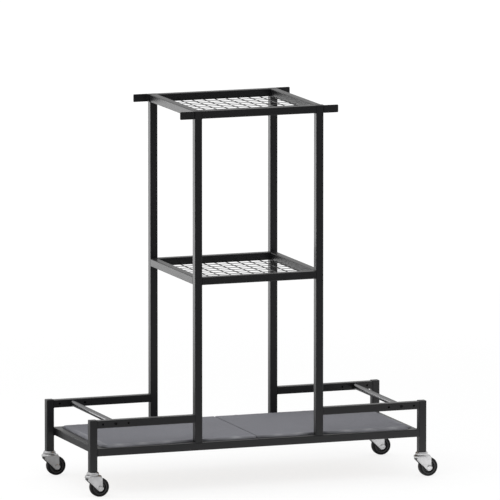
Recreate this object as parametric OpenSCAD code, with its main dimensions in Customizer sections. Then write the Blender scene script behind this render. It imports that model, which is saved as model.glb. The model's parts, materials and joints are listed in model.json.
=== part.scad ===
// Rolling rack for skis and snowboards: a black square-tube tower on a long
// wheeled base with a cloth-covered deck, two mesh shelves and two stop rods.
// Millimetres. X runs along the rack, Y away from its front, Z up from the floor.
// The origin is on the floor, under the middle of the rack as it stands with all
// its casters trailing to the right. The modules are drawn about the middle of the
// frame, and in_place() moves them to that origin.

/* [Frame] */
// Length of the base over the end posts
rack_l = 1155; // [1000:5:1400]
// Depth of the frame over its front and rear tubes
rack_d = 455; // [380:5:560]
// Width of the tower over its main posts
tower_w = 440; // [360:5:560]
// Side of the square tube
tube = 25; // [22:0.5:30]
// Wall of the square tube
tube_wall = 1.5; // [1.2:0.1:2]
// Radius of the tube's outer corners
tube_round = 2.5; // [1.5:0.1:4]
// Gap between an end rail and the end posts beside it
end_rail_gap = 1.5; // [0.5:0.5:6]

/* [Heights] */
// Floor to the underside of the base rails
base_z = 132; // [115:1:170]
// Floor to the underside of the guard rails
guard_z = 223; // [200:1:300]
// Floor to the underside of the middle shelf rails
mid_z = 670; // [500:5:900]
// Floor to the underside of the top shelf rails
top_z = 1209; // [1050:5:1500]

/* [Deck] */
// Height of the deck above the base rails
deck_proud = 7; // [3:0.5:9]
// Thickness of the deck boards
board_t = 10; // [8:0.5:15]
// Thickness of the cloth over the boards
cloth_t = 1; // [0.5:0.1:1.5]
// Gap round the deck inside the base frame
deck_gap = 1; // [0.5:0.1:3]
// Gap between the two deck panels
seam_gap = 3; // [1:0.5:8]
// Radius of the deck panels' outer corners
deck_corner = 14; // [6:1:30]
// Width of the ledges that carry the deck
ledge_w = 15; // [10:1:30]
// Thickness of the ledges
ledge_t = 2; // [1.5:0.5:3]
// Drop of a ledge's leg along its rail
ledge_drop = 11; // [6:0.5:14]
// Side of the square cross bar under the middle of the deck
bar = 20; // [15:1:22]
// Wall of the cross bar
bar_wall = 1.5; // [1.2:0.1:2]

/* [Shelf mesh] */
// Thickness of the perforated sheet
mesh_t = 1.2; // [0.8:0.1:2]
// Height of the sheet above the underside of its rails
mesh_lift = 1; // [0.5:0.5:10]
// Width of the webs between the openings
mesh_web = 5; // [3:0.5:8]
// Openings along the rack
mesh_cols = 10; // [6:1:12]
// Openings from front to rear
mesh_rows = 10; // [6:1:12]
// Radius of the openings' corners
mesh_corner = 2; // [1:0.5:5]

/* [Guard rails] */
// Diameter of the rod holes
hole_d = 7; // [6.6:0.1:9]
// Distance from the end post to the first hole
hole_first = 19; // [15:0.5:40]
// Distance between the holes
hole_pitch = 43.5; // [30:0.5:60]
// Number of holes in each guard rail
hole_count = 3; // [3:2:5]

/* [Stop rods] */
// Diameter of a stop rod
rod_d = 18; // [10:0.5:20]
// Diameter of the rod bolts
rod_bolt_d = 6; // [5:0.1:6.4]
// Length of bolt inside the rod
rod_grip = 15; // [10:1:25]
// Depth of the tapped hole in each rod end
rod_tap = 18; // [16:1:30]
// Diameter of a bolt head
rod_head_d = 10.5; // [9.5:0.5:14]
// Height of a bolt head
rod_head_h = 3.3; // [2:0.1:5]
// Width across the flats of the socket in a bolt head
rod_socket = 4; // [3:0.5:5]
// Depth of the socket in a bolt head
rod_socket_depth = 2; // [1:0.1:2.5]

/* [Ski stops] */
// Reach of a ski stop beyond the tower
ear_l = 50; // [30:1:80]
// Thickness of the strip that a ski stop is bent from
ear_t = 3; // [2:0.5:5]
// Length of a ski stop's leg along the post
ear_leg = 22; // [15:0.5:25]
// Outer radius of the bend
ear_bend = 5; // [5:0.5:9]
// Radius of a ski stop's free corners
ear_corner = 3; // [1:0.5:8]

/* [Tube plugs] */
// Thickness of a plug's flange
plug_flange = 1.8; // [1:0.1:4]
// Depth of a plug inside the tube
plug_depth = 10; // [6:1:20]
// Gap between a plug and the tube wall
plug_gap = 0.1; // [0.05:0.05:0.3]

/* [Casters] */
// Floor to the foot of the end posts
caster_h = 81; // [80:0.5:90]
// Diameter of the wheels
wheel_d = 63; // [56:0.5:64]
// Width of the tyre
tyre_w = 22; // [16:0.5:24]
// Thickness of the tyre on its rim
tyre_t = 7.5; // [5:0.5:10]
// Radius of the tyre's shoulders
tyre_round = 3; // [1:0.5:5]
// Gap between the tyre and its rim
tyre_fit = 0.05; // [0.02:0.01:0.1]
// Width of the wheel's rim
rim_w = 20; // [14:0.5:22]
// Thickness of the wheel's rim
rim_t = 4; // [3:0.5:6]
// Thickness of the wheel's web
web_t = 5; // [3:0.5:8]
// Length of the hub
hub_w = 25; // [24.5:0.5:28]
// Diameter of the hub
hub_d = 17; // [14:0.5:22]
// Play between the hub and each cheek of the fork
hub_play = 0.5; // [0.3:0.1:1.5]
// Distance that the wheel trails behind its swivel
trail = 21.5; // [18:0.5:24]
// Diameter of the axle
axle_d = 8; // [6:0.5:9]
// Running gap of the axle and the swivel pin, on the radius
run_gap = 0.05; // [0.02:0.01:0.08]
// Diameter of the axle's heads
axle_head_d = 12; // [10.5:0.5:15]
// Height of the axle's heads
axle_head_h = 1.8; // [1:0.1:3]
// Thickness of the fork's sheet
fork_t = 2.5; // [2:0.1:3]
// Radius of the fork's cheek round the axle
lobe_r = 12; // [10:0.5:13]
// Drop of the cheek's round end below the axle
lobe_drop = 2; // [0:0.5:3]
// Half length of a cheek where it meets the crown
cheek_reach = 27.5; // [26:0.5:30]
// Distance from the swivel axis to the rear edge of a cheek
cheek_rear = 28.5; // [27:0.5:31]
// Bevel at the upper corners of a cheek
cheek_bevel = 2.5; // [1:0.5:4]
// Diameter of the fork's crown
crown_d = 55; // [52:0.5:60]
// Height of the crown's rim
crown_rim = 2.6; // [2:0.1:3]
// Drop of the crown's cone
crown_cone = 4; // [3:0.1:4.5]
// Diameter of the swivel cap
cap_d = 41; // [39:0.5:46]
// Height of the swivel cap
cap_h = 9; // [8.5:0.1:10]
// Thickness of the swivel cap
cap_t = 2.5; // [2:0.1:3]
// Gap between the swivel cap and the crown
cap_gap = 0.7; // [0.5:0.1:1]
// Diameter of the race balls
ball_d = 5; // [4:0.1:5]
// Balls in each race
ball_count = 10; // [6:1:12]
// Radius of the ring of balls
ball_ring = 12.6; // [12:0.1:13]
// Gap on each side of a ball
ball_gap = 0.1; // [0.05:0.05:0.2]
// Diameter of the swivel pin
pin_d = 11; // [9:0.5:12]
// Diameter of the swivel pin's riveted head
pin_head_d = 17; // [15:0.5:20]
// Height of the swivel pin's riveted head
pin_head_h = 2.4; // [1.5:0.1:2.5]
// Diameter of the threaded stem
stem_d = 10; // [8:0.5:12]
// Length of the stem inside the post
stem_l = 22; // [14:1:40]
// Thickness of the nut plate in the foot of each end post
nut_plate = 6; // [4:0.5:12]

/* [Hidden] */
$fn = 48;
steel_black = [0.13, 0.13, 0.14];
steel_side = [0.17, 0.17, 0.18];
zinc = [0.78, 0.79, 0.80];
cloth_grey = [0.42, 0.43, 0.47];
rubber_black = [0.08, 0.08, 0.08];
slack = 1;                                   // overrun of a cut past a face
half_l = rack_l / 2;
half_d = rack_d / 2;
half_w = tower_w / 2;
bore = tube - 2 * tube_wall;                 // clear width inside the tube
span_y = rack_d - 2 * tube;                  // between front and rear tubes
base_l = rack_l - 2 * tube;                  // between the end posts
end_x = base_l / 2 - end_rail_gap - tube;    // inner face of an end rail
deck_z = base_z + tube + deck_proud;         // top of the cloth
ledge_z = deck_z - cloth_t - board_t;        // what the boards lie on
guard_l = base_l / 2 - half_w;               // end post to main post
mid_hole = (hole_count - 1) / 2;             // the hole that holds the rod, from 0
rod_x = base_l / 2 - hole_first - mid_hole * hole_pitch;
rod_z = guard_z + tube / 2;
shelf_w = tower_w - 2 * tube;                // clear width inside the tower
post_top = top_z + tube - plug_flange;
axle_z = wheel_d / 2;
post_x = half_l - tube / 2;                  // axes of the end posts
post_y = half_d - tube / 2;
fork_in = hub_w / 2 + hub_play;              // inner face of a cheek
fork_out = fork_in + fork_t;
cap_low = caster_h - cap_h;
ball_z = caster_h - cap_t - ball_gap - ball_d / 2;
track_z = ball_z - ball_d / 2 - ball_gap;    // top of the crown's ball track
cone_z = cap_low - cap_gap;
rim_top = cone_z - crown_cone;
rim_low = rim_top - crown_rim;
track_r = cap_d / 2 - cap_t - 2 * cap_gap;
lobe_dip = 0.05;                             // by which a cheek's front edge cuts into its lobe
stem_play = 0.05;                            // stem in its nut plate, on the radius
left_reach = max(crown_d / 2, cheek_reach);
right_reach = trail + wheel_d / 2;
offset_x = (right_reach - left_reach) / 2;   // the casters' trail moves the rack's middle

CORNERS = [["fl", -1, -1], ["fr", 1, -1], ["rl", -1, 1], ["rr", 1, 1]];
FRONT_REAR = [["front", -1], ["rear", 1]];
LEFT_RIGHT = [["left", -1], ["right", 1]];
CORNER_PARTS = ["main_post", "end_post", "guard_rail", "ski_stop",
    "caster_stem", "fork", "axle", "hub", "tyre"];

module in_place() {
    translate([-offset_x, 0, 0]) children();
}

// Plain outlines

// A rectangle from [0, 0] to size, with round corners
module round_rect(size, r) {
    translate([r, 0]) square([size.x - 2 * r, size.y]);
    translate([0, r]) square([size.x, size.y - 2 * r]);
    for (x = [r, size.x - r])
        for (y = [r, size.y - r])
            translate([x, y]) circle(r = r);
}

// The section of a square tube, centred
module tube_section(side, wall, r) {
    difference() {
        translate([-side / 2, -side / 2]) round_rect([side, side], r);
        square(side - 2 * wall, center = true);
    }
}

// A tube standing on z = 0
module tube_up(l, side = tube, wall = tube_wall) {
    linear_extrude(l) tube_section(side, wall, tube_round);
}

// Tubes lying along X and along Y, centred on the origin
module tube_x(l) {
    translate([-l / 2, 0, 0]) rotate([90, 0, 90]) tube_up(l);
}
module tube_y(l, side = tube, wall = tube_wall) {
    translate([0, l / 2, 0]) rotate([90, 0, 0]) tube_up(l, side, wall);
}

// A round bar along Y, centred on the origin
module bar_y(l, r) {
    rotate([90, 0, 0]) cylinder(h = l, r = r, center = true);
}

// Frame

module main_post(sx, sy) {
    foot = base_z + tube;
    color(steel_side)
        translate([sx * (half_w - tube / 2), sy * post_y, foot]) tube_up(post_top - foot);
}

module end_post(sx, sy) {
    color(steel_side) translate([sx * post_x, sy * post_y, caster_h]) {
        tube_up(guard_z + tube - caster_h);
        difference() {
            translate([-bore / 2, -bore / 2, 0]) cube([bore, bore, nut_plate]);
            translate([0, 0, -slack])
                cylinder(h = nut_plate + 2 * slack, d = stem_d + 2 * stem_play);
        }
    }
}

// An L-shaped ledge along X from x0 to x1, its back on y = 0 and its top on z = 0
module ledge(x0, x1) {
    translate([x0, 0, -ledge_t]) cube([x1 - x0, ledge_w, ledge_t]);
    translate([x0, 0, -ledge_drop - ledge_t]) cube([x1 - x0, ledge_t, ledge_drop + ledge_t]);
}

module base_rail(sy) {
    color(steel_black) {
        translate([0, sy * post_y, base_z + tube / 2]) tube_x(base_l);
        for (sx = [-1, 1])
            scale([sx, -sy, 1])
                translate([0, -span_y / 2, ledge_z]) ledge(bar / 2, end_x);
    }
}

module end_rail(sx) {
    reach = span_y / 2 - ledge_w;
    color(steel_side) {
        translate([sx * (end_x + tube / 2), 0, base_z + tube / 2]) tube_y(span_y);
        translate([sx * end_x, 0, ledge_z]) rotate([0, 0, 90 * sx]) ledge(-reach, reach);
    }
}

module cross_bar() {
    color(steel_black) translate([0, 0, ledge_z - bar / 2]) tube_y(span_y, bar, bar_wall);
}

module rod_holes() {
    for (i = [0 : hole_count - 1])
        translate([base_l / 2 - hole_first - i * hole_pitch, 0, rod_z])
            bar_y(tube + 2 * slack, hole_d / 2);
}

module guard_rail(sx, sy) {
    color(steel_black) scale([sx, 1, 1]) translate([0, sy * post_y, 0]) difference() {
        translate([half_w + guard_l / 2, 0, rod_z]) tube_x(guard_l);
        rod_holes();
    }
}

// Stop rods

module stop_rod(sx) {
    color(zinc) translate([sx * rod_x, 0, rod_z]) difference() {
        bar_y(span_y, rod_d / 2);
        for (sy = [-1, 1])
            translate([0, sy * span_y / 2, 0]) bar_y(2 * rod_tap, rod_bolt_d / 2 + run_gap);
    }
}

// A button-headed bolt along Y, its head's seat on y = 0 and its head towards -Y
module rod_bolt() {
    shank = tube + rod_grip;
    dome = (pow(rod_head_h, 2) + pow(rod_head_d / 2, 2)) / (2 * rod_head_h);
    translate([0, shank / 2, 0]) bar_y(shank, rod_bolt_d / 2);
    rotate([90, 0, 0]) difference() {
        rotate_extrude() intersection() {
            square([rod_head_d / 2, rod_head_h]);
            translate([0, rod_head_h - dome]) circle(r = dome);
        }
        translate([0, 0, rod_head_h - rod_socket_depth])
            cylinder(h = rod_socket_depth + slack, d = rod_socket / cos(30), $fn = 6);
    }
}

module rod_bolts() {
    color(steel_black)
        for (sx = [-1, 1])
            for (sy = [-1, 1])
                scale([1, -sy, 1]) translate([sx * rod_x, -half_d, rod_z]) rod_bolt();
}

// Shelves

module shelf_rail_x(sy, z) {
    color(steel_black) translate([0, sy * post_y, z + tube / 2]) tube_x(shelf_w);
}

module shelf_rail_y(sx, z) {
    color(steel_side) translate([sx * (half_w - tube / 2), 0, z + tube / 2]) tube_y(span_y);
}

// The perforated sheet of a shelf whose rails stand on z
module shelf_mesh(z) {
    cell = [shelf_w / mesh_cols, span_y / mesh_rows];
    opening = cell - [mesh_web, mesh_web];
    color(steel_side) translate([-shelf_w / 2, -span_y / 2, z + mesh_lift])
        linear_extrude(mesh_t) difference() {
            square([shelf_w, span_y]);
            for (i = [0 : mesh_cols - 1])
                for (j = [0 : mesh_rows - 1])
                    translate([i * cell.x, j * cell.y] + [mesh_web, mesh_web] / 2)
                        round_rect(opening, mesh_corner, $fn = 16);
        }
}

// A strip bent outwards at the top of each main post, level with the top rails
module ski_stop(sx, sy) {
    bend_in = ear_bend - ear_t;
    color(steel_black) scale([sx, -sy, 1]) translate([half_w, -half_d, top_z]) {
        intersection() {
            linear_extrude(tube) translate([ear_bend, 0]) square([ear_l - ear_bend, ear_t]);
            translate([0, ear_t + slack, 0]) rotate([90, 0, 0])
                linear_extrude(ear_t + 2 * slack)
                    translate([-ear_l, 0]) round_rect([2 * ear_l, tube], ear_corner);
        }
        linear_extrude(tube) {
            translate([0, ear_bend]) square([ear_t, ear_leg - ear_bend]);
            translate([ear_bend, ear_bend]) intersection() {
                difference() {
                    circle(r = ear_bend);
                    circle(r = bend_in);
                }
                translate([-ear_bend, -ear_bend]) square(ear_bend);
            }
        }
    }
}

// Tube plugs

// A plug whose flange stands on z = 0
module tube_plug() {
    body = bore - 2 * plug_gap;
    linear_extrude(plug_flange)
        translate([-tube / 2, -tube / 2]) round_rect([tube, tube], tube_round);
    translate([-body / 2, -body / 2, -plug_depth]) cube([body, body, plug_depth]);
}

module tube_plugs() {
    color(rubber_black)
        for (c = CORNERS) {
            translate([c[1] * post_x, c[2] * post_y, guard_z + tube]) tube_plug();
            translate([c[1] * (half_w - tube / 2), c[2] * post_y, post_top]) tube_plug();
        }
}

// Deck

// A deck panel's outline, drawn in from the cloth's edge by inset
module deck_outline(inset) {
    corner = deck_corner - inset;
    size = [end_x - deck_gap - seam_gap / 2, span_y - 2 * deck_gap] - 2 * [inset, inset];
    translate([seam_gap / 2 + inset, -size.y / 2]) intersection() {
        square(size);
        translate([-deck_corner, 0]) round_rect(size + [deck_corner, 0], corner);
    }
}

module deck_board(sx) {
    color("burlywood") scale([sx, 1, 1])
        translate([0, 0, ledge_z]) linear_extrude(board_t) deck_outline(cloth_t);
}

module deck_cloth(sx) {
    color(cloth_grey) scale([sx, 1, 1]) translate([0, 0, ledge_z]) {
        linear_extrude(board_t) difference() {
            deck_outline(0);
            deck_outline(cloth_t);
        }
        translate([0, 0, board_t]) linear_extrude(cloth_t) deck_outline(0);
    }
}

// Casters, drawn about the swivel axis with the floor on z = 0

module at_caster(sx, sy) {
    translate([sx * post_x, sy * post_y, 0]) children();
}

module caster_stem() {
    pin_low = track_z - fork_t - pin_head_h;
    color(zinc) {
        translate([0, 0, caster_h]) cylinder(h = stem_l, d = stem_d);
        rotate_extrude() polygon([
            [0, pin_low], [pin_head_d / 2, pin_low],
            [pin_head_d / 2, track_z - fork_t - ball_gap], [pin_d / 2, track_z - fork_t - ball_gap],
            [pin_d / 2, caster_h - cap_t], [cap_d / 2 - cap_t, caster_h - cap_t],
            [cap_d / 2 - cap_t, cap_low], [cap_d / 2, cap_low],
            [cap_d / 2, caster_h - cap_t], [cap_d / 2 - cap_t, caster_h], [0, caster_h]]);
    }
}

module race_balls() {
    color("silver")
        for (c = CORNERS)
            at_caster(c[1], c[2])
                for (i = [0 : ball_count - 1])
                    rotate([0, 0, i * 360 / ball_count])
                        translate([ball_ring, 0, ball_z]) sphere(d = ball_d, $fn = 24);
}

// Where a line from p touches the circle of radius r about c, on its lower side
function lower_tangent(p, c, r) =
    let (d = c - p, far = norm(d), turn = atan2(d.y, d.x) - asin(r / far))
    p + sqrt(far * far - r * r) * [cos(turn), sin(turn)];

module cheek_outline() {
    lobe = [trail, axle_z - lobe_drop];
    front = [-cheek_reach, rim_low - fork_t / 2];
    bevel_z = rim_low + cheek_bevel / 2;
    top = [sqrt(pow(cap_d / 2, 2) - pow(fork_out, 2)), cone_z - fork_t / 2];
    polygon([
        [-top.x, top.y], [-cheek_reach + cheek_bevel, bevel_z], front,
        lower_tangent(front, lobe, lobe_r - lobe_dip), lobe, [cheek_rear, lobe.y],
        [cheek_rear, rim_low - fork_t / 2], [cheek_rear - cheek_bevel, bevel_z], top]);
    translate(lobe) circle(r = lobe_r);
}

module crown() {
    outer = crown_d / 2;
    dish = track_r - fork_t;
    rotate_extrude() polygon([
        [pin_d / 2 + run_gap, track_z - fork_t], [dish, track_z - fork_t],
        [dish, cone_z - fork_t], [cap_d / 2, cone_z - fork_t],
        [outer - fork_t, rim_top - fork_t / 2], [outer - fork_t, rim_low],
        [outer, rim_low], [outer, rim_top], [cap_d / 2 + cap_gap, cone_z],
        [track_r, cone_z], [track_r, track_z], [pin_d / 2 + run_gap, track_z]]);
}

module fork() {
    color(zinc) difference() {
        union() {
            crown();
            for (side = [-1, 1])
                translate([0, side * (fork_in + fork_out) / 2 + fork_t / 2, 0])
                    rotate([90, 0, 0]) linear_extrude(fork_t) cheek_outline();
        }
        translate([trail, 0, axle_z]) bar_y(2 * fork_out + 2 * slack, axle_d / 2 + run_gap);
    }
}

module axle() {
    color(zinc) translate([trail, 0, axle_z]) {
        bar_y(2 * fork_out, axle_d / 2);
        for (side = [-1, 1])
            translate([0, side * (fork_out + axle_head_h / 2), 0]) bar_y(axle_head_h, axle_head_d / 2);
    }
}

module hub() {
    rim_r = wheel_d / 2 - tyre_t;
    color(rubber_black) translate([trail, 0, axle_z]) difference() {
        union() {
            bar_y(hub_w, hub_d / 2);
            bar_y(web_t, rim_r - rim_t / 2);
            difference() {
                bar_y(rim_w, rim_r);
                bar_y(rim_w + 2 * slack, rim_r - rim_t);
            }
        }
        bar_y(hub_w + 2 * slack, axle_d / 2 + run_gap);
    }
}

module tyre() {
    color(rubber_black) translate([trail, 0, axle_z]) rotate([90, 0, 0])
        rotate_extrude($fn = 96)
            translate([wheel_d / 2 - tyre_t + tyre_fit, -tyre_w / 2])
                round_rect([tyre_t - tyre_fit, tyre_w], tyre_round, $fn = 32);
}

for (c = CORNERS) {
    in_place() main_post(c[1], c[2]);
    in_place() end_post(c[1], c[2]);
    in_place() guard_rail(c[1], c[2]);
    in_place() ski_stop(c[1], c[2]);
    in_place() at_caster(c[1], c[2]) caster_stem();
    in_place() at_caster(c[1], c[2]) fork();
    in_place() at_caster(c[1], c[2]) axle();
    in_place() at_caster(c[1], c[2]) hub();
    in_place() at_caster(c[1], c[2]) tyre();
}
for (s = FRONT_REAR) {
    in_place() base_rail(s[1]);
    in_place() shelf_rail_x(s[1], mid_z);
    in_place() shelf_rail_x(s[1], top_z);
}
for (s = LEFT_RIGHT) {
    in_place() end_rail(s[1]);
    in_place() shelf_rail_y(s[1], mid_z);
    in_place() shelf_rail_y(s[1], top_z);
    in_place() stop_rod(s[1]);
    in_place() deck_board(s[1]);
    in_place() deck_cloth(s[1]);
}
in_place() cross_bar();
in_place() rod_bolts();
in_place() shelf_mesh(mid_z);  // mid_mesh
in_place() shelf_mesh(top_z);  // top_mesh
in_place() tube_plugs();
in_place() race_balls();
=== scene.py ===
# %% [markdown]
# # A rolling ski rack
# The real rack is welded from 25 mm square steel tube and powder coated black. It
# stands on four swivel casters and has a deck in two cloth-covered panels, guard
# rails with two bright stop rods, and a tower with two shelves of perforated sheet.
#
# The engineering model already holds every hard shape at its true size. This lesson
# loads it, dresses the steel in real finishes, and remakes the pieces whose charm is
# in their soft or rounded forms: the pressed casters, the tyres, the tube plugs, the
# bright rods, the bolt heads and the cloth. It adds the welds. Lengths on the rack are
# written in millimetres and multiplied by MM, and those of the studio in metres.

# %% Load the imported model
import json
import math
import random

import bmesh
import bpy
from mathutils import Matrix, Vector


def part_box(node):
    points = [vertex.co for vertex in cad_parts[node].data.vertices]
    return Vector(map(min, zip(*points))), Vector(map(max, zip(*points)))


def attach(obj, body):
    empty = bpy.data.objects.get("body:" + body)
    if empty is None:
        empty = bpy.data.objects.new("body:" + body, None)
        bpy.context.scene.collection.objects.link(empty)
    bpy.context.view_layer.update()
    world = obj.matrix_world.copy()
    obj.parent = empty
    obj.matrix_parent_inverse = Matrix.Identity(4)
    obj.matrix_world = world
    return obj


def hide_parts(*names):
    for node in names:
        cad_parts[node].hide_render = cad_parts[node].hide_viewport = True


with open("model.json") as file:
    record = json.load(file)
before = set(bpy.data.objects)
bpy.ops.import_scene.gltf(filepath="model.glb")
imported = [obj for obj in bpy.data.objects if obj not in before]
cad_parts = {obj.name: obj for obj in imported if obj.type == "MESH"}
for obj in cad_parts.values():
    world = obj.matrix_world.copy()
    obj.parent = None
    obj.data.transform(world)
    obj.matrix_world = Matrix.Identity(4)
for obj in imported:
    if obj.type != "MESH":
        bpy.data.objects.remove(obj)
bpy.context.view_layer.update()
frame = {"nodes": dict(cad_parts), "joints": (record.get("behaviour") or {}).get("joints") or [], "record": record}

MM = 0.001
NODES = frame["nodes"]
CORNERS = ("fl", "fr", "rl", "rr")
SWIVELS, WHEELS = {}, {}
for joint in frame["joints"]:
    places = SWIVELS if joint["name"].startswith("caster_swivel") else WHEELS
    places[joint["name"][-2:]] = Vector(joint["pos_m"])

# %% [markdown]
# ## The camera
# The photograph was taken from far away with a long lens: its vertical tubes stay
# parallel, and the far posts are hardly shorter than the near ones. So the camera
# stands 32 m off and uses a 712 mm lens. Its direction and distance were found by
# fitting the edges of the posts and rails, so no shift and no roll are needed.

# %% Camera
AZIMUTH = math.radians(-20.0)
ELEVATION = math.radians(8.64)
DISTANCE = 32.06
AIM = Vector((37.6, 0.0, 739.1)) * MM
LENS = 712.3

back = Vector((math.sin(AZIMUTH) * math.cos(ELEVATION),
               -math.cos(AZIMUTH) * math.cos(ELEVATION), math.sin(ELEVATION)))
camera = bpy.data.objects.new("camera", bpy.data.cameras.new("camera"))
camera.data.sensor_width = 36.0
camera.data.lens = LENS
camera.data.clip_end = 400.0
camera.location = AIM + back * DISTANCE
camera.rotation_mode = "QUATERNION"
camera.rotation_quaternion = (-back).to_track_quat("-Z", "Y")
bpy.context.scene.collection.objects.link(camera)
bpy.context.scene.camera = camera
bpy.context.scene.view_settings.view_transform = "Standard"
print("camera at", [round(v, 3) for v in camera.location])

# %% [markdown]
# ## Shader maths in plain Python
# A material is a graph of nodes, and most of the graph is arithmetic. The class Flow
# wraps the output of a node, and its operators add Math nodes, so that a mask can be
# written as 1 - dust * 0.3. Every other node comes from Graph.add, which takes
# the node's type, its settings, and the values or links of its sockets.

# %% Flow, Graph and Finish
class Flow:
    """What comes out of a node: arithmetic on it adds Math nodes."""

    def __init__(self, graph, socket):
        self.graph = graph
        self.socket = socket

    def math(self, operation, *values):
        return self.graph.add("ShaderNodeMath", {"operation": operation},
                               dict(enumerate(values)))

    def __add__(self, other):
        return self.math("ADD", self, other)

    __radd__ = __add__

    def __sub__(self, other):
        return self.math("SUBTRACT", self, other)

    def __rsub__(self, other):
        return self.math("SUBTRACT", other, self)

    def __mul__(self, other):
        return self.math("MULTIPLY", self, other)

    __rmul__ = __mul__

    def __truediv__(self, other):
        return self.math("DIVIDE", self, other)

    def __rtruediv__(self, other):
        return self.math("DIVIDE", other, self)

    def __pow__(self, other):
        return self.math("POWER", self, other)

    def __abs__(self):
        return self.math("ABSOLUTE", self)

    def sine(self):
        return self.math("SINE", self)

    def larger(self, other):
        return self.math("MAXIMUM", self, other)

    def step(self, low, high):
        """0 below low, 1 above high, and a smooth rise between them."""
        return self.graph.add("ShaderNodeMapRange", {"interpolation_type": "SMOOTHSTEP"},
                               {"Value": self, "From Min": low, "From Max": high})


class Graph:
    """The nodes of a material or of the world."""

    def __init__(self, tree):
        self.tree = tree
        tree.nodes.clear()

    def add(self, kind, settings=None, sockets=None, out=0):
        node = self.tree.nodes.new(kind)
        for key, value in (settings or {}).items():
            setattr(node, key, value)
        for key, value in (sockets or {}).items():
            if isinstance(value, Flow):
                self.tree.links.new(value.socket, node.inputs[key])
            else:
                node.inputs[key].default_value = value
        return Flow(self, node.outputs[out])

    def end(self, kind, shader):
        output = self.tree.nodes.new(kind)
        self.tree.links.new(shader.socket, output.inputs["Surface"])


class Finish(Graph):
    """A material: the finish of one or more pieces."""

    def __init__(self, name):
        self.material = bpy.data.materials.new(name)
        self.material.use_nodes = True
        super().__init__(self.material.node_tree)

    def stretched(self, where, stretch):
        return self.add("ShaderNodeMapping", {"vector_type": "POINT"},
                        {"Vector": where, "Scale": stretch})

    def place(self, stretch=(1.0, 1.0, 1.0)):
        """Object coordinates in metres, stretched."""
        return self.stretched(self.add("ShaderNodeTexCoord", out="Object"), stretch)

    def noise(self, where, scale, detail, rough=0.5):
        return self.add("ShaderNodeTexNoise", None,
                        {"Vector": where, "Scale": scale, "Detail": detail, "Roughness": rough})

    def blend(self, amount, low, high):
        """From colour low to colour high."""
        return self.add("ShaderNodeMix", {"data_type": "RGBA"}, {0: amount, 6: low, 7: high}, out=2)

    def upward(self):
        """1 where a face looks up, 0 where it looks down or sideways."""
        normal = self.add("ShaderNodeNewGeometry", out="Normal")
        return self.add("ShaderNodeSeparateXYZ", None, {0: normal}, out="Z").step(0.55, 0.95)

    def bump(self, height, depth, strength, under=None):
        """A bump: height, from 0 to 1, stands for depth in metres."""
        sockets = {"Height": height, "Distance": depth, "Strength": strength}
        if under is not None:
            sockets["Normal"] = under
        return self.add("ShaderNodeBump", None, sockets)

    def surface(self, **sockets):
        """Ends the graph with a Principled shader. Names are written with _ for a space."""
        named = {key.replace("_", " "): value for key, value in sockets.items()}
        self.end("ShaderNodeOutputMaterial", self.add("ShaderNodeBsdfPrincipled", None, named))
        return self.material


def grey(value):
    return (value, value, value, 1.0)


print("helpers for materials are ready")

# %% [markdown]
# ## The studio
# A product picture of this kind has a white sweep behind and beside the object and
# a darker room behind the camera. The world does that: it is white for camera rays,
# and what lights the rack fades towards the front. Black paint shows little but what
# it mirrors, so mirrored rays see a room of their own: dark in front, with a paler
# back wall and ceiling, and with a large bright screen low behind the rack on the
# left. This gives the tubes dark fronts, pale left sides and bright upper edges.

# %% World
FRONT_LIGHT = 0.34
SKY_LIGHT = 0.86
DARK_ROOM, BACK_WALL, CEILING = 0.16, 0.59, 0.55
WORLD_SCREEN, SCREEN_TOP = (1.75, 0.3, 0.8), (0.03, 0.26)


def mirrored_room(x, y, pale, screen):
    """What mirrored rays see. A screen is its level, where it starts and where it is full."""
    level, start, full = screen
    return DARK_ROOM + pale + level * y.step(start, full) * x.step(0.15, -0.35)


world = bpy.data.worlds.new("studio")
bpy.context.scene.world = world
world.use_nodes = True
sky = Graph(world.node_tree)
towards = sky.add("ShaderNodeTexCoord", out="Generated")
x, y, z = (sky.add("ShaderNodeSeparateXYZ", None, {0: towards}, out=axis) for axis in "XYZ")
room = SKY_LIGHT * (FRONT_LIGHT + (1 - FRONT_LIGHT) * y.step(-0.9, 0.1))
seen = sky.add("ShaderNodeLightPath", out="Is Camera Ray")
seen = seen.larger(sky.add("ShaderNodeLightPath", out="Is Transmission Ray"))
mirrored = sky.add("ShaderNodeLightPath", out="Is Glossy Ray")
aside = x + z.step(*SCREEN_TOP)
walls = BACK_WALL * y.step(-0.6, 0.2) + CEILING * z.step(0.32, 0.72)
level = room + mirrored * (mirrored_room(aside, y, walls, WORLD_SCREEN) - room)
background = sky.add("ShaderNodeBackground", None,
                     {"Color": seen + (1 - seen) * level, "Strength": 1.0})
sky.end("ShaderNodeOutputWorld", background)
print("the world is lit to", SKY_LIGHT)

# %% [markdown]
# ## The floor
# The floor is matt white paint that keeps the rack's shadow. Further out it turns into
# an even glow, so that it has no edge against the white world. The tubes and forks
# mirror the floor more than anything else, so mirrored rays see it as part of the dark
# room, on the same terms: a pale patch in front, paler to the right and in a strip by
# the wheels, a darker one behind, and the foot of the screen at the back on the left.

# %% Floor
FLOOR_RADIUS = 40.0
FLOOR_WHITE = 0.9
KEPT_SHADOW, SWEEP_WHITE = 0.24, 1.06
FLOOR_SCREEN = (2.3, 1.0, 3.9)
BEFORE, BEFORE_RIGHT, BY_WHEELS = 0.60, 0.38, 0.42
UNDER_RIGHT, UNDER_LOSS = 1.2, 0.3
BEHIND, FAR_RIGHT, SIGHT_SLOPE = 0.19, 0.24, 0.37

bm = bmesh.new()
bmesh.ops.create_circle(bm, cap_ends=True, segments=96, radius=FLOOR_RADIUS)
floor = bpy.data.objects.new("floor", bpy.data.meshes.new("floor"))
bm.to_mesh(floor.data)
bm.free()
bpy.context.scene.collection.objects.link(floor)

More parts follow.
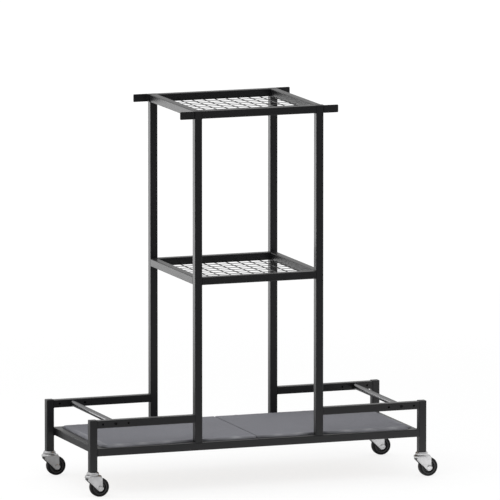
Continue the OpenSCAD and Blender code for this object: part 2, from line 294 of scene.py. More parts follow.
paint = Finish("floor_paint")
spot = paint.place()
away = paint.add("ShaderNodeVectorMath", {"operation": "LENGTH"}, {0: spot}, out="Value")
x, y = (paint.add("ShaderNodeSeparateXYZ", None, {0: spot}, out=axis) for axis in "XY")
seen = paint.add("ShaderNodeLightPath", out="Is Camera Ray")
mirrored = paint.add("ShaderNodeLightPath", out="Is Glossy Ray")
near, behind = y.step(-2.2, -0.4), y.step(-0.35, 0.5)
right, under = x.step(-0.4, 1.0), y.step(-0.4, -0.15)
by_wheels = y.step(-1.0, -0.6) * y.step(-0.15, -0.4)
before = BEFORE + BEFORE_RIGHT * right + BY_WHEELS * by_wheels
before = before + under * (UNDER_RIGHT * right - UNDER_LOSS)
pale = (before * (1 - behind) + BEHIND * behind) * near
pale = pale + FAR_RIGHT * (x + SIGHT_SLOPE * y).step(-0.3, 0.4) * (1 - near)
level = SWEEP_WHITE + mirrored * (mirrored_room(x / away, y, pale, FLOOR_SCREEN) - SWEEP_WHITE)
matt = paint.add("ShaderNodeBsdfDiffuse", None, {"Color": grey(FLOOR_WHITE)})
white = paint.add("ShaderNodeEmission", None, {"Color": level, "Strength": 1.0})
glow = mirrored.larger(seen * ((1 - KEPT_SHADOW) + KEPT_SHADOW * away.step(1.6, 6.0)))
sweep = paint.add("ShaderNodeMixShader", None, {0: glow, 1: matt, 2: white})
paint.end("ShaderNodeOutputMaterial", sweep)
floor.data.materials.append(paint.material)
print("floor radius in m:", FLOOR_RADIUS)

# %% [markdown]
# ## The lamps
# Three large soft lamps light the rack: one high up in front, one on the left and a
# weak one on the right. Mirrored rays don't see them, because on narrow satin tubes
# each lamp would draw a streak that the room already gives.

# %% Lamps
def soft_box(name, place, aim, width, height, level):
    """A rectangular lamp whose level is about what a white card at aim would show."""
    place, aim = Vector(place), Vector(aim)
    data = bpy.data.lights.new(name, "AREA")
    data.shape = "RECTANGLE"
    data.size, data.size_y = width, height
    data.energy = level * math.pi ** 2 * (place - aim).length_squared
    lamp = bpy.data.objects.new(name, data)
    lamp.location = place
    lamp.rotation_mode = "QUATERNION"
    lamp.rotation_quaternion = (aim - place).to_track_quat("-Z", "Y")
    lamp.visible_camera = False
    lamp.visible_glossy = False
    bpy.context.scene.collection.objects.link(lamp)


MIDDLE = Vector((0.0, 0.0, 0.55))
soft_box("overhead_box", (-1.3, -2.9, 4.0), MIDDLE, 4.5, 3.6, 0.30)
soft_box("left_box", (-4.4, 0.6, 2.2), MIDDLE, 4.6, 4.0, 0.26)
soft_box("right_box", (3.6, -3.4, 2.2), MIDDLE, 1.6, 2.2, 0.07)

# %% [markdown]
# ## Powder coat
# Powder is baked onto the steel and melts into a satin skin with a faint orange peel:
# low waves about 1.5 mm across. It rubs a little greyer where things knock against it,
# and dust settles on whatever looks up. The coat is a dielectric, so its depth of
# black comes from a very dark base colour and its pale sides from grazing reflection.

# %% Powder coat
COAT_BLACK = (0.0085, 0.0085, 0.0095, 1.0)
COAT_RUBBED = (0.026, 0.026, 0.028, 1.0)
DUST = (0.19, 0.18, 0.165, 1.0)


def powder_coat(name, roughness, dusty):
    coat = Finish(name)
    at = coat.place()
    peel = coat.noise(at, 640.0, 1.0)
    broad = coat.noise(at, 9.0, 4.0, 0.6)
    scuffs = coat.noise(coat.place(stretch=(1.0, 1.0, 0.25)), 55.0, 6.0, 0.7).step(0.60, 0.74)
    rubbed = scuffs * broad.step(0.42, 0.62)
    specks = coat.noise(at, 210.0, 3.0, 0.65).step(0.46, 0.74)
    dust = coat.upward() * (0.35 + 0.65 * specks) * dusty
    colour = coat.blend(rubbed * 0.5, COAT_BLACK, COAT_RUBBED)
    colour = coat.blend(dust, colour, DUST)
    shine = roughness + 0.05 * broad + 0.07 * rubbed + 0.25 * dust
    skin = coat.bump(peel, 0.05 * MM, 0.55)
    return coat.surface(Base_Color=colour, Roughness=shine, Normal=skin, IOR=1.45)


tube_coat = powder_coat("powder_coat", 0.34, 0.10)
mesh_coat = powder_coat("powder_coat_sheet", 0.42, 0.12)
print("coats:", tube_coat.name, mesh_coat.name)

# %% [markdown]
# ## Zinc and bright steel
# The casters are pressed from sheet and zinc plated: a pale metal with a slight
# milky bloom, fine level lines and a few stains. An attribute painted on the forks
# marks the faces that face the wheel or look down, and there the plate is painted
# darker as painted shade. The stop rods are drawn bar, with fine lines along their
# length; stretching the noise along Y gives those lines. The bolts are blackened,
# and the balls of the swivel races are polished.

# %% Zinc, bright bar, black oxide and polished balls
ZINC_PALE = (0.64, 0.64, 0.645, 1.0)
ZINC_DULL = (0.49, 0.49, 0.495, 1.0)
ZINC_STAIN = (0.27, 0.27, 0.265, 1.0)
FORK_SHADE = grey(0.035)
BAR_PALE = (0.41, 0.41, 0.415, 1.0)
BAR_DULL = (0.25, 0.25, 0.255, 1.0)
OXIDE_BLACK = (0.003, 0.003, 0.0032, 1.0)
OXIDE_WORN = grey(0.022)
BALL_FILM = (0.60, 0.60, 0.61, 1.0)
BALL_BRIGHT = grey(0.68)


def zinc(name):
    plate = Finish(name)
    at = plate.place()
    bloom = plate.noise(at, 48.0, 5.0, 0.62)
    grain = plate.noise(plate.place(stretch=(1.0, 1.0, 7.0)), 260.0, 3.0, 0.6)
    dirt = plate.noise(at, 120.0, 4.0, 0.7).step(0.58, 0.8)
    colour = plate.blend(bloom.step(0.32, 0.68) * 0.55, ZINC_PALE, ZINC_DULL)
    colour = plate.blend(dirt * 0.25, colour, ZINC_STAIN)
    # painted shade: faces marked inside, towards the wheel or looking down, are painted darker
    inside = plate.add("ShaderNodeAttribute", {"attribute_name": "inside"}, out="Fac")
    colour = plate.blend(inside * (0.80 + 0.15 * dirt), colour, FORK_SHADE)
    shine = 0.30 + 0.16 * bloom + 0.10 * grain + 0.12 * dirt
    skin = plate.bump(grain, 0.03 * MM, 0.4)
    return plate.surface(Base_Color=colour, Metallic=1.0, Roughness=shine, Normal=skin,
                         Specular_Tint=grey(0.75))


def bright_bar(name):
    bar = Finish(name)
    lines = bar.noise(bar.place(stretch=(1.0, 0.02, 1.0)), 900.0, 2.0)
    marks = bar.noise(bar.place(stretch=(1.0, 0.3, 1.0)), 70.0, 4.0, 0.7).step(0.55, 0.8)
    colour = bar.blend(marks * 0.5, BAR_PALE, BAR_DULL)
    shine = 0.16 + 0.10 * lines + 0.14 * marks
    return bar.surface(Base_Color=colour, Metallic=1.0, Roughness=shine,
                       Normal=bar.bump(lines, 0.02 * MM, 0.35), Specular_Tint=grey(0.35))


def black_oxide(name):
    bolt = Finish(name)
    worn = bolt.noise(bolt.place(), 420.0, 3.0, 0.6)
    colour = bolt.blend(worn.step(0.5, 0.8) * 0.6, OXIDE_BLACK, OXIDE_WORN)
    return bolt.surface(Base_Color=colour, Roughness=0.42 + 0.2 * worn, Specular_IOR_Level=0.15,
                        Normal=bolt.bump(worn, 0.02 * MM, 0.3))


def ball_steel(name):
    ball = Finish(name)
    film = ball.noise(ball.place(), 300.0, 2.0)
    colour = ball.blend(film, BALL_FILM, BALL_BRIGHT)
    return ball.surface(Base_Color=colour, Metallic=1.0, Roughness=0.08 + 0.12 * film)


fork_zinc = zinc("zinc_plate")
rod_steel = bright_bar("bright_bar")
bolt_black = black_oxide("black_oxide")
race_steel = ball_steel("ball_steel")
print("metals:", fork_zinc.name, rod_steel.name, bolt_black.name, race_steel.name)

# %% [markdown]
# ## Rubber, plastic and plywood
# The tyres are soft black rubber: dusty where they roll, and cleaner on the side. An
# attribute, painted on the mesh when the tyre is made, says where the tread is, so the
# dust stays on it while the wheel turns. Moulded plastic is close to the rubber but a
# little glossier. The boards under the cloth are plain plywood, with its grain along X
# and its plies as level bands.

# %% Rubber, plastic and plywood
RUBBER_BLACK = (0.006, 0.006, 0.0065, 1.0)
RUBBER_DUST = (0.038, 0.036, 0.034, 1.0)
WHEEL_BLACK = (0.018, 0.018, 0.019, 1.0)
PLUG_BLACK = (0.016, 0.016, 0.017, 1.0)
WOOD_DARK = (0.36, 0.235, 0.125, 1.0)
WOOD_PALE = (0.60, 0.445, 0.275, 1.0)
TWO_PLIES = 2.6 * MM


def tyre_rubber(name):
    rubber = Finish(name)
    at = rubber.place()
    tread = rubber.add("ShaderNodeAttribute", {"attribute_name": "tread"}, out="Fac")
    fine = rubber.noise(at, 900.0, 2.0)
    blotch = rubber.noise(at, 90.0, 4.0, 0.65)
    dust = (0.10 + 0.55 * tread) * blotch.step(0.35, 0.75)
    colour = rubber.blend(dust, RUBBER_BLACK, RUBBER_DUST)
    shine = 0.50 + 0.22 * blotch + 0.12 * tread
    return rubber.surface(Base_Color=colour, Roughness=shine, Specular_IOR_Level=0.22,
                          Normal=rubber.bump(fine, 0.05 * MM, 0.5))


def moulded_plastic(name, colour, roughness):
    plastic = Finish(name)
    at = plastic.place()
    grain = plastic.noise(at, 700.0, 2.0)
    haze = plastic.noise(at, 60.0, 4.0, 0.6)
    paler = tuple(min(1.0, c * 2.4) for c in colour[:3]) + (1.0,)
    tone = plastic.blend(haze.step(0.45, 0.8) * 0.5, colour, paler)
    return plastic.surface(Base_Color=tone, Roughness=roughness + 0.12 * haze,
                           Normal=plastic.bump(grain, 0.04 * MM, 0.5))


def plywood(name):
    wood = Finish(name)
    along = wood.noise(wood.place(stretch=(0.06, 1.0, 1.0)), 160.0, 5.0, 0.6)
    bands = wood.noise(wood.place(stretch=(0.10, 1.0, 1.0)), 22.0, 3.0, 0.5)
    height = wood.add("ShaderNodeSeparateXYZ", None, {0: wood.place()}, out="Z")
    plies = (height * (math.tau / TWO_PLIES)).sine()
    tone = (0.55 * along + 0.45 * bands + 0.12 * plies).step(0.25, 0.75)
    colour = wood.blend(tone, WOOD_DARK, WOOD_PALE)
    return wood.surface(Base_Color=colour, Roughness=0.62 + 0.15 * along,
                        Normal=wood.bump(along, 0.12 * MM, 0.5))


wheel_rubber = tyre_rubber("tyre_rubber")
wheel_plastic = moulded_plastic("wheel_plastic", WHEEL_BLACK, 0.42)
plug_plastic = moulded_plastic("plug_plastic", PLUG_BLACK, 0.48)
deck_plywood = plywood("plywood")
print("tyre, plastic and wood are ready")

# %% [markdown]
# ## Deck cloth
# Each deck panel is a board with a woven cover pulled over its edges and stapled
# underneath. The weave is a coarse plain one in a grey with a violet cast: the warp
# and the weft differ a little in shade, and yarns vary in thickness. The pattern
# reads the cloth's own UV map, laid out in metres as the cloth was cut, so the weave
# runs over the edge without a break. Scuffs are paler and soil is darker. An attribute
# painted when the cover is made marks the folds, tucks and hem, and there the cloth
# is painted paler as a painted highlight.

# %% Cloth finish
CLOTH_WARP = (0.104, 0.105, 0.119, 1.0)
CLOTH_WEFT = (0.143, 0.145, 0.157, 1.0)
CLOTH_WORN = (0.180, 0.182, 0.193, 1.0)
CLOTH_SOIL = (0.105, 0.102, 0.115, 1.0)
# the pale colour of the painted highlight on the folds, tucks and hem
CLOTH_HIGHLIGHT = (0.400, 0.405, 0.420, 1.0)
YARN = 0.9 * MM


def woven_cloth(name):
    cloth = Finish(name)
    flat = cloth.add("ShaderNodeUVMap", {"uv_map": "cut"})
    along, across = (cloth.add("ShaderNodeSeparateXYZ", None, {0: flat}, out=axis) for axis in "XY")
    over = (along * (math.pi / YARN)).sine() * (across * (math.pi / YARN)).sine()
    relief = abs(over) ** 0.5
    slub_u = cloth.noise(cloth.stretched(flat, (1400.0, 30.0, 1.0)), 1.0, 2.0)
    slub_v = cloth.noise(cloth.stretched(flat, (30.0, 1400.0, 1.0)), 1.0, 2.0)
    heather = cloth.noise(flat, 520.0, 3.0, 0.6)
    soil = cloth.noise(flat, 7.0, 5.0, 0.6)
    scuff = cloth.noise(cloth.stretched(flat, (18.0, 60.0, 1.0)), 1.0, 5.0, 0.7).step(0.56, 0.80)
    tone = (0.5 + 0.35 * over + 0.5 * (slub_u - slub_v) + 0.5 * (heather - 0.5)).step(0.1, 0.9)
    colour = cloth.blend(tone, CLOTH_WARP, CLOTH_WEFT)
    colour = cloth.blend(scuff * 0.55, colour, CLOTH_WORN)
    colour = cloth.blend(soil.step(0.45, 0.75) * 0.22, colour, CLOTH_SOIL)
    # painted highlight: the cloth is painted paler where the attribute marks folds, tucks and the hem
    painted_highlight = cloth.add("ShaderNodeAttribute", {"attribute_name": "painted_highlight"}, out="Fac")
    colour = cloth.blend(painted_highlight * (0.75 + 0.5 * (heather - 0.5)), colour, CLOTH_HIGHLIGHT)
    weave = cloth.bump(relief * (0.6 + 0.4 * heather), 0.16 * MM, 0.7)
    waves = cloth.noise(cloth.stretched(flat, (9.0, 12.0, 1.0)), 1.0, 2.0)
    skin = cloth.bump(waves, 1.6 * MM, 0.6, under=weave)
    return cloth.surface(Base_Color=colour, Roughness=0.86 + 0.08 * heather, Normal=skin,
                         Sheen_Weight=0.25, Sheen_Roughness=0.5, Sheen_Tint=(0.85, 0.85, 0.95, 1.0))


deck_fabric = woven_cloth("deck_cloth")
print("materials:", len(bpy.data.materials))

# %% [markdown]
# ## Tools of the bench
# Nearly every remade piece is either turned about an axis or cut from a flat outline.
# section() makes a flat face from a few corners and rounds each one with a vertex
# bevel. turned() spins such a section round Z, and both_ends() writes a section that
# has two like ends from one of them. raised() extrudes a flat face. piece() makes the
# finished bmesh an object, with smooth faces that stay sharp past an angle. ALONG_X
# and ALONG_Y lay down what was turned round Z.

# %% Helpers for shapes
def section(bm, corners, steps=4):
    """A face in XZ from corners of (x, z, rounding) in mm, each rounded in a few steps."""
    points = [Vector((x, 0.0, z)) * MM for x, z, _ in corners]
    verts = [bm.verts.new(p) for p in points]
    bm.faces.new(verts)
    count = len(points)
    for i, (_, _, rounding) in enumerate(corners):
        if not rounding:
            continue
        before = (points[i] - points[i - 1]).normalized()
        after = (points[(i + 1) % count] - points[i]).normalized()
        offset = rounding * MM * math.tan(before.angle(after) / 2)
        bmesh.ops.bevel(bm, geom=[verts[i]], offset=offset, offset_type="OFFSET", segments=steps,
                        profile=0.5, affect="VERTICES", material=-1)
    bm.faces.ensure_lookup_table()
    return bm.faces[0]


def both_ends(half, middle=()):
    """A section whose lower half is the mirror image of its upper half."""
    return [(radius, -z, rounding) for radius, z, rounding in reversed(half)] + [*middle, *half]


def turned(corners, around=64):
    """A closed section of (radius, height, rounding) in mm, spun once round Z."""
    bm = bmesh.new()
    face = section(bm, corners)
    bmesh.ops.delete(bm, geom=[face], context="FACES_ONLY")
    bmesh.ops.spin(bm, geom=bm.verts[:] + bm.edges[:], axis=(0, 0, 1), cent=(0, 0, 0),
                   dvec=(0, 0, 0), angle=math.tau, steps=around, use_merge=True,
                   use_normal_flip=False, use_duplicate=False)
    bmesh.ops.remove_doubles(bm, verts=bm.verts, dist=0.001 * MM)
    bmesh.ops.dissolve_degenerate(bm, edges=bm.edges, dist=0.001 * MM)
    bmesh.ops.delete(bm, geom=[e for e in bm.edges if not e.link_faces], context="EDGES")
    bmesh.ops.recalc_face_normals(bm, faces=bm.faces)
    return bm


def raised(bm, face, vec):
    """Extrudes a face by vec in metres."""
    grown = bmesh.ops.extrude_face_region(bm, geom=[face])["geom"]
    bmesh.ops.translate(bm, verts=[v for v in grown if isinstance(v, bmesh.types.BMVert)], vec=vec)
    bmesh.ops.recalc_face_normals(bm, faces=bm.faces)


def sharp_edges(bm, angle):
    limit = math.radians(angle)
    return [e for e in bm.edges if len(e.link_faces) == 2 and e.calc_face_angle(0.0) > limit]


def soften(bm, edges, offset, steps=2):
    """Rounds edges by offset in mm."""
    bmesh.ops.bevel(bm, geom=edges, offset=offset * MM, offset_type="OFFSET", segments=steps,
                    profile=0.5, affect="EDGES", clamp_overlap=True, material=-1)


def add_copy(whole, part, matrix):
    """Adds a transformed copy of the bmesh part to the bmesh whole."""
    mesh = bpy.data.meshes.new("copy")
    part.to_mesh(mesh)
    mesh.transform(matrix)
    if matrix.determinant() < 0:
        mesh.flip_normals()
    whole.from_mesh(mesh)
    bpy.data.meshes.remove(mesh)


def piece(name, bm, material, body, instead_of=(), sharp=32.0):
    """The bmesh as an object that rides on a body and stands for CAD nodes."""
    mesh = bpy.data.meshes.new(name)
    bm.to_mesh(mesh)
    bm.free()
    for polygon in mesh.polygons:
        polygon.use_smooth = True
    mesh.set_sharp_from_angle(angle=math.radians(sharp))
    mesh.materials.append(material)
    made = bpy.data.objects.new(name, mesh)
    bpy.context.scene.collection.objects.link(made)
    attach(made, body)
    if instead_of:
        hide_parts(*instead_of)
    return made


def moved_to(place):
    return Matrix.Translation(place)


ALONG_X = Matrix.Rotation(math.radians(90), 4, "Y")
ALONG_Y = Matrix.Rotation(math.radians(90), 4, "X")
print("bench is ready")

# %% [markdown]
# ## Dressing the frame
# The tubes, rails, sheets, boards and balls are right as they come from the
# engineering model, so they only get their finish. Which finish a node gets follows
# from its material slot in the record. The two perforated sheets have a slightly
# duller coat of their own.

# %% Finishes for the engineering nodes
BY_SLOT = {"powder_coat": tube_coat, "zinc_plate": fork_zinc, "bright_rod": rod_steel,
           "black_oxide": bolt_black, "ball_steel": race_steel, "deck_wood": deck_plywood,
           "wheel_plastic": wheel_plastic, "plug_plastic": plug_plastic,
           "tyre_rubber": wheel_rubber, "deck_fabric": deck_fabric}
SLOT_OF = {row["node"]: row["material_slot"] for row in frame["record"]["subparts"]}
for node, obj in NODES.items():
    finish = mesh_coat if node.endswith("_mesh") else BY_SLOT[SLOT_OF[node]]
    obj.data.materials.clear()
    obj.data.materials.append(finish)
print("dressed nodes:", len(NODES))

# %% [markdown]
# ## Casters: cap and stem
# A threaded stem screws into the post, and under it a pressed cap covers the ball
# race. Stem, cap and swivel pin are riveted into one unit, so one section is turned
# for the three. The cap has the rounded shoulder of a pressing, because that shoulder
# is what catches the light under each post.

# %% Caps
CASTER_H, CAP_LOW, CAP_R, CAP_T = 81.0, 72.0, 20.5, 2.5
CAP_SKIRT, CAP_SHOULDER = 4.5, 2.8
PIN_LOW, PIN_SEAT, PIN_R, PIN_HEAD_R = 68.4, 70.7, 5.5, 8.5
STEM_R, STEM_TOP = 5.0, 103.0

CAP_SECTION = [
    (0.0, PIN_LOW, 0), (PIN_HEAD_R, PIN_LOW, 0.9), (PIN_HEAD_R, PIN_SEAT, 0.3),
    (PIN_R, PIN_SEAT, 0), (PIN_R, CASTER_H - CAP_T, 0), (CAP_R - CAP_T, CASTER_H - CAP_T, 1.0),
    (CAP_R - CAP_T, CAP_LOW, 0.3), (CAP_R, CAP_LOW, 0.5), (CAP_R, CAP_LOW + CAP_SKIRT, 2.5),
    (CAP_R - CAP_SHOULDER, CASTER_H, 1.6), (STEM_R, CASTER_H, 0), (STEM_R, STEM_TOP, 0.8),
    (0.0, STEM_TOP, 0)]

FEET = {corner: Vector((axis.x, axis.y, 0.0)) for corner, axis in SWIVELS.items()}
for corner in CORNERS:
    bm = turned(CAP_SECTION, around=72)
    bm.transform(moved_to(FEET[corner]))
    piece(f"caster_cap_{corner}", bm, fork_zinc, "rack", [f"caster_stem_{corner}"])
print("cap diameter in mm:", 2 * CAP_R)

# %% [markdown]
# ## Casters: the fork
# One sheet is pressed into a dished crown with two cheeks that slope down to the
# axle. Along the edge of each cheek runs a raised rim that stiffens it, and in the
# photograph this rim is the palest line of the caster. The crown is turned, then drawn
# out a little over the wheel. A cheek is an outline that is extruded, inset and pushed
# in to leave the rim. A short lip, the apron, closes the front between the cheeks.

# %% Forks
TRAIL, AXLE_Z = 21.5, 31.5
FORK_IN, FORK_T = 13.0, 2.5
CONE_Z, RIM_TOP, RIM_LOW, RIM_ROUND = 71.3, 68.6, 64.7, 1.4
CROWN_R, TRACK_R, TRACK_Z, PIN_HOLE_R = 25.7, 16.6, 73.3, 5.55
LOBE_R, LOBE_DROP = 10.5, 2.0
LOBE_START, LOBE_END, LOBE_STEP = -134, 3, 8
CHEEK_REAR, REAR_CORNER, CHEEK_TOP = 28.7, 25.6, (13.4, CONE_Z - 1.3)
SLOPE, SLOPE_LEVEL = -0.97, 35.6
EDGE_WIDE, EDGE_SLOPE, EMBOSS = 2.0, 0.8, 0.7
LIP_LOW, LIP_T, LIP_HIDDEN = 62.6, 2.2, 1.5
REAR_STRETCH = 1.14

CROWN_SECTION = [
    (PIN_HOLE_R, TRACK_Z - FORK_T, 0), (TRACK_R - FORK_T, TRACK_Z - FORK_T, 0.5),
    (TRACK_R - FORK_T, CONE_Z - FORK_T, 0.8), (CAP_R - 0.3, CONE_Z - FORK_T, 2.0),
    (CROWN_R - FORK_T, RIM_TOP - RIM_ROUND, 1.0), (CROWN_R - FORK_T, RIM_LOW, 0.3),
    (CROWN_R, RIM_LOW, 0.5), (CROWN_R, RIM_TOP, 3.0), (CAP_R + 0.6, CONE_Z, 1.5),
    (TRACK_R, CONE_Z, 0.3), (TRACK_R, TRACK_Z, 0.5), (PIN_HOLE_R, TRACK_Z, 0)]
LOBE_Z = AXLE_Z - LOBE_DROP
LOBE = [(TRAIL + LOBE_R * math.cos(math.radians(a)), LOBE_Z + LOBE_R * math.sin(math.radians(a)), 0)
        for a in range(LOBE_START, LOBE_END, LOBE_STEP)]
FORK_OUT = FORK_IN + FORK_T
CHEEK_FRONT = -math.sqrt(CROWN_R ** 2 - FORK_OUT ** 2)
CHEEK = [(-CHEEK_TOP[0], CHEEK_TOP[1], 0), (CHEEK_FRONT + 0.8, RIM_LOW + 2.0, 0),
         (CHEEK_FRONT, SLOPE_LEVEL + SLOPE * CHEEK_FRONT, 0), *LOBE,
         (CHEEK_REAR, LOBE_Z + 4.0, 0), (CHEEK_REAR, RIM_LOW - 1.25, 0),
         (REAR_CORNER, RIM_LOW + 1.75, 0), (CHEEK_TOP[0], CHEEK_TOP[1], 0)]


def cheek(side):
    """One cheek, its outer face away from the wheel and its raised rim round it."""
    bm = bmesh.new()
    raised(bm, section(bm, CHEEK), (0, -FORK_T * MM, 0))
    outer = min(bm.faces, key=lambda f: f.calc_center_median().y)
    for thickness, depth in ((EDGE_WIDE, 0.0), (EDGE_SLOPE, -EMBOSS)):
        bmesh.ops.inset_region(bm, faces=[outer], thickness=thickness * MM, depth=depth * MM,
                               use_even_offset=True)
    soften(bm, sharp_edges(bm, 60.0), 0.5)
    out = bmesh.new()
    turn = Matrix.Identity(4) if side < 0 else Matrix.Scale(-1.0, 4, (0, 1, 0))
    add_copy(out, bm, turn @ moved_to((0, -FORK_IN * MM, 0)))
    bm.free()
    return out


def apron():
    """The front of the fork: a short lip that hangs from the crown between the cheeks."""
    lip_in, lip_top = CROWN_R - LIP_T, RIM_LOW + LIP_HIDDEN
    bm = turned([(lip_in, LIP_LOW, 0.8), (CROWN_R, LIP_LOW, 0.8), (CROWN_R, lip_top, 0),
                 (lip_in, lip_top, 0)], around=96)
    bmesh.ops.bisect_plane(bm, geom=bm.verts[:] + bm.edges[:] + bm.faces[:], dist=0.001 * MM,
                           plane_co=Vector((CHEEK_FRONT + 0.6, 0.0, 0.0)) * MM, plane_no=(1, 0, 0),
                           clear_outer=True)
    bmesh.ops.holes_fill(bm, edges=[e for e in bm.edges if e.is_boundary], sides=0)
    bmesh.ops.recalc_face_normals(bm, faces=bm.faces)
    return bm


def paint_fork_shade(bm):
    """Marks what faces the wheel or looks down, where shade is painted, before the fork is put in place."""
    bm.normal_update()
    layer = bm.faces.layers.float.new("inside")
    reach, ceiling = (FORK_IN + 0.2) * MM, (CONE_Z - FORK_T + 0.2) * MM
    for face in bm.faces:
        spot = face.calc_center_median()
        facing_in = abs(spot.y) < reach and spot.z < ceiling and face.normal.xy.dot(spot.xy) < 1e-6
        # painted shade: full on faces towards the wheel, and more on other faces the more they look down
        face[layer] = 1.0 if facing_in else 0.9 * max(0.0, -face.normal.z)


for corner in CORNERS:
    bm = turned(CROWN_SECTION, around=72)
    for vert in bm.verts:
        beyond = max(0.0, vert.co.x) * max(0.0, vert.co.xy.length / MM - CAP_R) / (CROWN_R - CAP_R)
        vert.co.x += beyond * (REAR_STRETCH - 1)
    for part in (apron(), cheek(-1), cheek(1)):
        add_copy(bm, part, Matrix.Identity(4))
        part.free()
    paint_fork_shade(bm)
    bm.transform(moved_to(FEET[corner]))
    piece(f"pressed_fork_{corner}", bm, fork_zinc, f"swivel_{corner}", [f"fork_{corner}"])
print("cheek outline corners:", len(CHEEK))

# %% [markdown]
# ## Casters: axle, wheel and tyre
# The axle is a rivet with a low domed head at each end. The wheel is a moulded core
# with a web between hub and rim, and the tyre grips its rim. A small ring stands on
# each side of the tyre, as the mould leaves it, and shows as a paler circle. All three
# have two like sides, so only one side of each section is written.

# %% Axles, wheels and tyres
AXLE_R, AXLE_HEAD_R, AXLE_DOME_R, AXLE_EDGE, AXLE_HEAD_H = 4.0, 6.0, 3.4, 0.7, 1.8
HUB_HALF, HUB_R, BORE_R = 12.5, 8.5, 4.05
RIM_HALF, RIM_R, RIM_T, WEB_HALF, DRAFT = 10.0, 24.0, 4.0, 2.5, 0.6
TYRE_HALF, TYRE_IN, TYRE_R, TREAD_HALF = 11.0, 24.05, 31.5, 6.6
RING_FOOT_IN, RING_IN, RING_OUT, RING_FOOT_OUT = 25.2, 25.6, 26.8, 27.3
RING_RISE_IN, RING_RISE_OUT = 0.6, 0.5
TREAD_EDGE, TREAD_FADE = 29.6, 1.4
HEAD_TOP, RIM_IN = FORK_OUT + AXLE_HEAD_H, RIM_R - RIM_T

AXLE_SECTION = both_ends([
    (AXLE_R, FORK_OUT, 0), (AXLE_HEAD_R, FORK_OUT, 0), (AXLE_HEAD_R, FORK_OUT + AXLE_EDGE, 0.5),
    (AXLE_DOME_R, HEAD_TOP, 2.0), (0.0, HEAD_TOP, 0)])
WHEEL_SECTION = both_ends([
    (RIM_R, RIM_HALF, 0.4), (RIM_IN, RIM_HALF, 0.6), (RIM_IN - DRAFT, WEB_HALF, 1.5),
    (HUB_R + DRAFT, WEB_HALF, 1.5), (HUB_R, HUB_HALF, 0.8), (BORE_R, HUB_HALF, 0.4)])
TYRE_SECTION = both_ends([
    (TYRE_R - 0.25, TREAD_HALF, 3.0), (TYRE_R - 1.0, TYRE_HALF - RING_RISE_OUT, 2.5),
    (RING_FOOT_OUT, TYRE_HALF - RING_RISE_OUT, 0.4), (RING_OUT, TYRE_HALF, 0.3),
    (RING_IN, TYRE_HALF, 0.3), (RING_FOOT_IN, TYRE_HALF - RING_RISE_IN, 0.3),
    (TYRE_IN, TYRE_HALF - RING_RISE_IN, 0.4)], middle=[(TYRE_R, 0.0, 20.0)])


def paint_tread(bm):
    """Marks the rolling face of a tyre, before it is put in place."""
    layer = bm.verts.layers.float.new("tread")
    for vert in bm.verts:
        radius = math.hypot(vert.co.x, vert.co.y) / MM
        vert[layer] = max(0.0, min(1.0, (radius - TREAD_EDGE) / TREAD_FADE))


for corner in CORNERS:
    swivel, wheel = f"swivel_{corner}", f"wheel_{corner}"
    axle, core, tyre = turned(AXLE_SECTION, 48), turned(WHEEL_SECTION, 72), turned(TYRE_SECTION, 96)
    paint_tread(tyre)
    for bm in (axle, core, tyre):
        bm.transform(moved_to(WHEELS[corner]) @ ALONG_Y)
    piece(f"axle_rivet_{corner}", axle, fork_zinc, swivel, [f"axle_{corner}"])
    piece(f"wheel_core_{corner}", core, wheel_plastic, wheel, [f"hub_{corner}"])
    piece(f"rolling_tyre_{corner}", tyre, wheel_rubber, wheel, [f"tyre_{corner}"])
print("wheel diameter in mm:", 2 * TYRE_R)

# %% [markdown]
# ## Tube plugs
# A plug of plastic closes the top of each post. Its flange is as wide as the tube and
# as round at the corners, so from afar it only shows as a fine line. Only the flange
# is made anew here, because the rest of the plug is inside the tube.

# %% Tube plugs
TUBE, TUBE_ROUND, PLUG_FLANGE, PLUG_EDGE = 25.0, 2.5, 1.8, 0.7
END_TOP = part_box("guard_rail_fl")[1].z
POST_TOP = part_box("main_post_fl")[1].z


def middle(node):
    """The middle of a node's box in plan."""
    low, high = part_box(node)
    return Vector(((low.x + high.x) / 2, (low.y + high.y) / 2, 0.0))


def plug():
    """A flange that stands on z = 0."""
    bm = bmesh.new()
    half = TUBE / 2
    top = section(bm, [(-half, -half, TUBE_ROUND), (half, -half, TUBE_ROUND),
                       (half, half, TUBE_ROUND), (-half, half, TUBE_ROUND)], 5)
    bmesh.ops.rotate(bm, verts=bm.verts, cent=(0, 0, 0), matrix=Matrix.Rotation(math.pi / 2, 3, "X"))
    raised(bm, top, (0, 0, PLUG_FLANGE * MM))
    top = max(bm.faces, key=lambda f: f.calc_center_median().z)
    soften(bm, list(top.edges), PLUG_EDGE, 3)
    return bm


plugs = bmesh.new()
one = plug()
for corner in CORNERS:
    for node, level in ((f"end_post_{corner}", END_TOP), (f"main_post_{corner}", POST_TOP)):
        spot = middle(node)
        add_copy(plugs, one, moved_to((spot.x, spot.y, level)))
one.free()
piece("tube_plug_flanges", plugs, plug_plastic, "rack", ["tube_plugs"])
print("plugs reach", round((POST_TOP / MM) + PLUG_FLANGE, 1), "mm")

# %% [markdown]
# ## Stop rods
# A stop rod is a length of bright drawn bar between the front and rear guard rails,
# faced on the lathe, so each end has a small chamfer. It takes its length and its
# diameter from the engineering model, is turned round Z and then laid along Y.

# %% Stop rods
ROD_CHAMFER = 0.8

for side in ("left", "right"):
    low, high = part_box(f"stop_rod_{side}")
    half, radius = (high.y - low.y) / 2 / MM, (high.z - low.z) / 2 / MM
    bar = turned(both_ends([
        (radius, half - ROD_CHAMFER, 0), (radius - ROD_CHAMFER, half, 0), (0.0, half, 0)]))
    bar.transform(moved_to((low + high) / 2) @ ALONG_Y)
    piece(f"stop_bar_{side}", bar, rod_steel, "rack", [f"stop_rod_{side}"])
print("stop rods, length and diameter in mm:", round(2 * half, 1), round(2 * radius, 1))

# %% [markdown]
# ## Bolts of the stop rods
# A button head is a low dome with a hexagonal socket. The dome is turned as a ring,
# and the round wall of its hole is pulled in to six flats. A six-sided plate in the
# hole is the floor of the socket.

